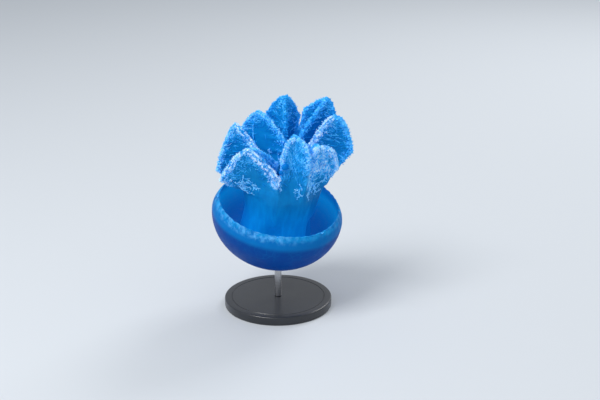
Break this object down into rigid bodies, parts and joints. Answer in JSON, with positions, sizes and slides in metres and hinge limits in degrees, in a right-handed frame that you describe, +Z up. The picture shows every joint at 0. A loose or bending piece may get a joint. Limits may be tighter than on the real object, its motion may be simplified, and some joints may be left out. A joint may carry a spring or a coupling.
{
  "type": "blue blubber jellyfish model on a display stand",
  "caption": "Still, life-size jellyfish held bell-down on a round stand: a bowl-shaped bell with a scalloped margin and thick, frilled, three-winged oral arms pointing up.",
  "frame": {"origin": "centre of the stand base's underside", "axes": "+Z up; the animal's front, the side it leans to, faces -Y"},
  "size_m": [0.1593, 0.1479, 0.247],
  "materials": {
    "bell_gel": "clear deep blue gel, wet gloss",
    "margin_tissue": "milky azure margin with pale blotches, wet gloss",
    "arm_gel": "smooth azure gel, wet satin",
    "frill_tissue": "pale lilac-blue frills over azure panels, soft satin",
    "stand_enamel": "satin black enamel",
    "stand_steel": "brushed stainless steel"
  },
  "bodies": {
    "root": {"bell_apex": "bell_gel", "bell_wall_1": "bell_gel", "bell_wall_2": "bell_gel", "bell_wall_3": "bell_gel", "bell_wall_4": "bell_gel", "bell_wall_5": "bell_gel", "bell_wall_6": "bell_gel", "bell_wall_7": "bell_gel", "bell_wall_8": "bell_gel", "margin_octant_1": "margin_tissue", "margin_octant_2": "margin_tissue", "margin_octant_3": "margin_tissue", "margin_octant_4": "margin_tissue", "margin_octant_5": "margin_tissue", "margin_octant_6": "margin_tissue", "margin_octant_7": "margin_tissue", "margin_octant_8": "margin_tissue", "arm_disc": "arm_gel", "arm_stalk_1": "arm_gel", "arm_stalk_2": "arm_gel", "arm_stalk_3": "arm_gel", "arm_stalk_4": "arm_gel", "arm_stalk_5": "arm_gel", "arm_stalk_6": "arm_gel", "arm_stalk_7": "arm_gel", "arm_stalk_8": "arm_gel", "arm_wings_1": "frill_tissue", "arm_wings_2": "frill_tissue", "arm_wings_3": "frill_tissue", "arm_wings_4": "frill_tissue", "arm_wings_5": "frill_tissue", "arm_wings_6": "frill_tissue", "arm_wings_7": "frill_tissue", "arm_wings_8": "frill_tissue", "stand_base": "stand_enamel", "stand_rod": "stand_steel", "stand_cup": "stand_steel"}
  },
  "joints": []
}
